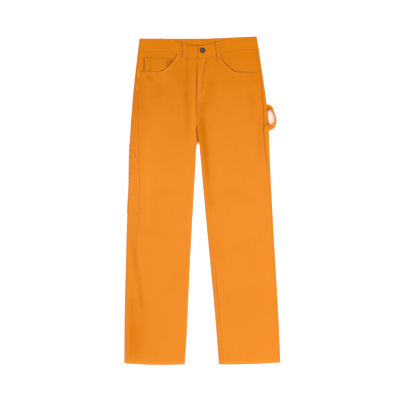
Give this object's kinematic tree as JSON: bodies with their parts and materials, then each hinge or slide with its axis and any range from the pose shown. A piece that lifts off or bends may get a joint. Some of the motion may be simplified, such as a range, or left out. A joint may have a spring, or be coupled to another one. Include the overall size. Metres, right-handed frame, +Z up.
{
  "type": "corduroy carpenter trousers",
  "caption": "Straight-legged corduroy trousers laid flat, with scooped front pockets, a coin pocket, a buttoned waistband, belt loops, a slanted tool pocket and a hammer loop.",
  "frame": {"origin": "under the middle of the box that holds the trousers, on the surface that they lie on", "axes": "+Z up out of the front, +Y along the legs to the waist, +X to the wearer's left"},
  "size_m": [0.5084, 1.0697, 0.0216],
  "materials": {
    "corduroy": "fine-wale cotton corduroy, orange, matt with a soft nap",
    "gunmetal": "dark tarnished metal, slightly polished on its rim"
  },
  "bodies": {
    "root": {"front_right": "corduroy", "front_left": "corduroy", "back_right": "corduroy", "back_left": "corduroy", "waistband": "corduroy", "pocket_facing_right": "corduroy", "pocket_facing_left": "corduroy", "coin_pocket": "corduroy", "belt_loop_right": "corduroy", "belt_loop_left": "corduroy", "tool_pocket": "corduroy", "hammer_loop": "corduroy", "button": "gunmetal"}
  },
  "joints": []
}
